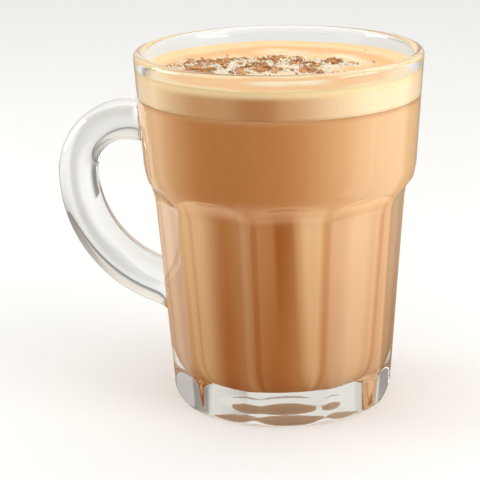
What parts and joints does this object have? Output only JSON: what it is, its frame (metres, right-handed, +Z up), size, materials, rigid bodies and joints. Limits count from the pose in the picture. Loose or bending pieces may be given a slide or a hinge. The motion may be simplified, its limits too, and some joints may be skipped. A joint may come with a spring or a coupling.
{
  "type": "masala chai in a glass mug",
  "caption": "Faceted pressed-glass mug with a C-shaped handle, filled with milky spiced tea under a layer of foam.",
  "frame": {"origin": "on the mug's axis, in the plane that its base stands on", "axes": "+Z up along the mug's axis, handle on the -X side, +Y square to the handle's plane"},
  "size_m": [0.1134, 0.0858, 0.1075],
  "materials": {
    "clear_glass": "clear polished pressed glass",
    "milky_tea": "opaque milky tea, wet gloss",
    "milk_foam": "fine milk foam with ground spice on top"
  },
  "bodies": {
    "root": {"glass_mug": "clear_glass", "chai": "milky_tea", "foam": "milk_foam"}
  },
  "joints": []
}
